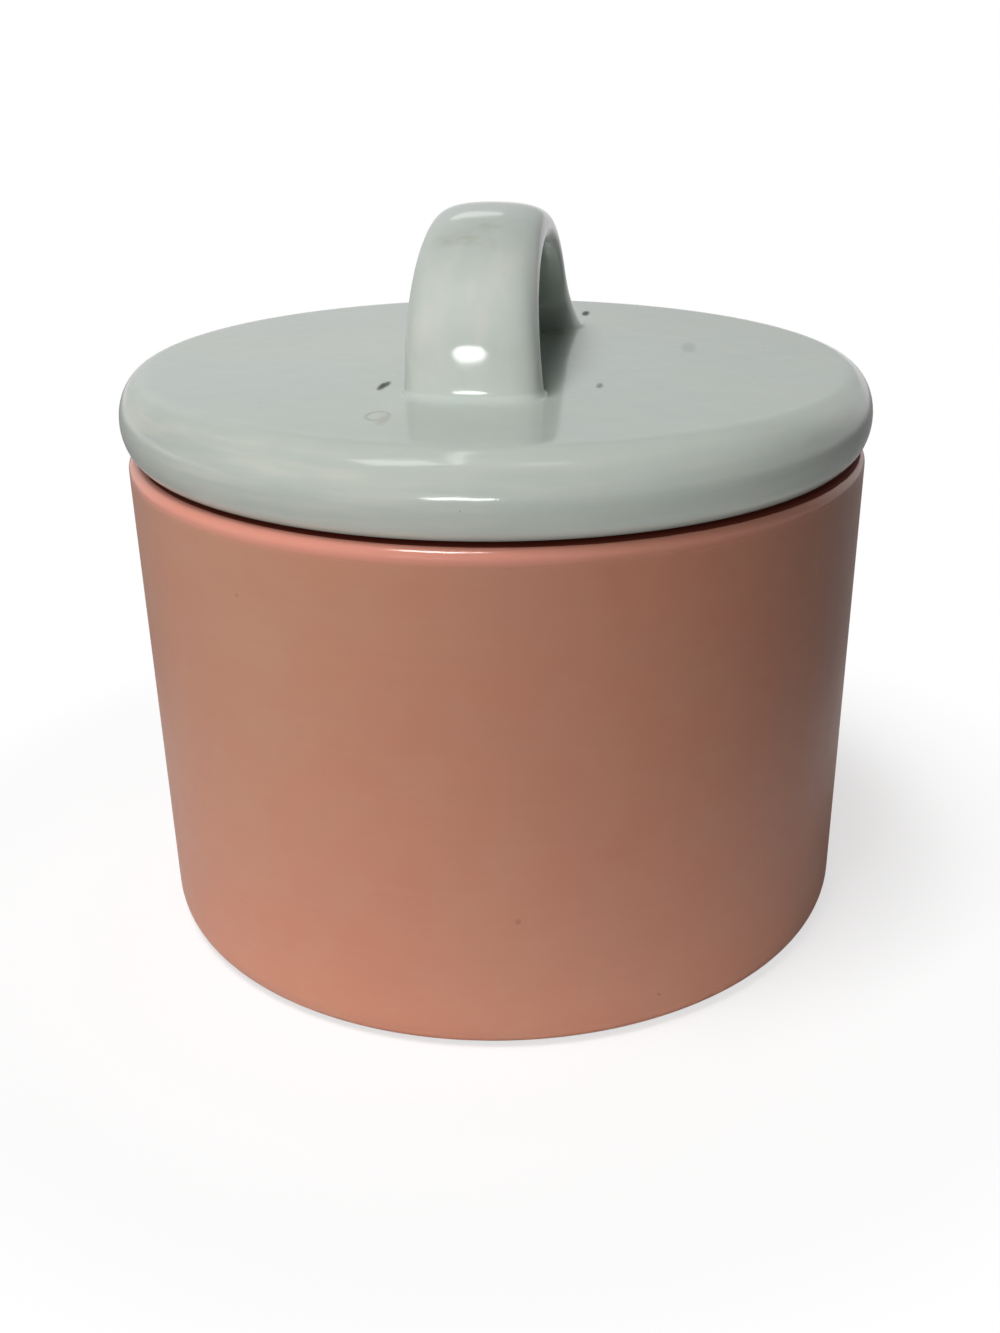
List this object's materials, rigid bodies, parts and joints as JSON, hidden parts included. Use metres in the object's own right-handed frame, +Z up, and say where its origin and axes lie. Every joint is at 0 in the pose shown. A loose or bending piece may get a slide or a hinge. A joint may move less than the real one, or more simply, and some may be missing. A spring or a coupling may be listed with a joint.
{
  "type": "lidded salt dish",
  "caption": "Straight-sided round ceramic salt pot with a thick lift-off lid, which a flange centres in the bore and a strap handle lifts.",
  "frame": {"origin": "middle of the foot ring, on the surface that the dish stands on", "axes": "+Z up along the axis that pot and lid are turned about; the strap handle runs along Y, and -Y is the front"},
  "size_m": [0.11, 0.11, 0.1059],
  "materials": {
    "pink_glaze": "satin",
    "grey_green_glaze": "gloss"
  },
  "bodies": {
    "pot": {"pot": "pink_glaze"},
    "lid": {"lid": "grey_green_glaze", "lid_handle": "grey_green_glaze"}
  },
  "joints": [
    {"name": "lid_lift", "type": "slide", "parent": "pot", "child": "lid", "axis": [0, 0, 1], "range_m": [0, 0.06]}
  ]
}
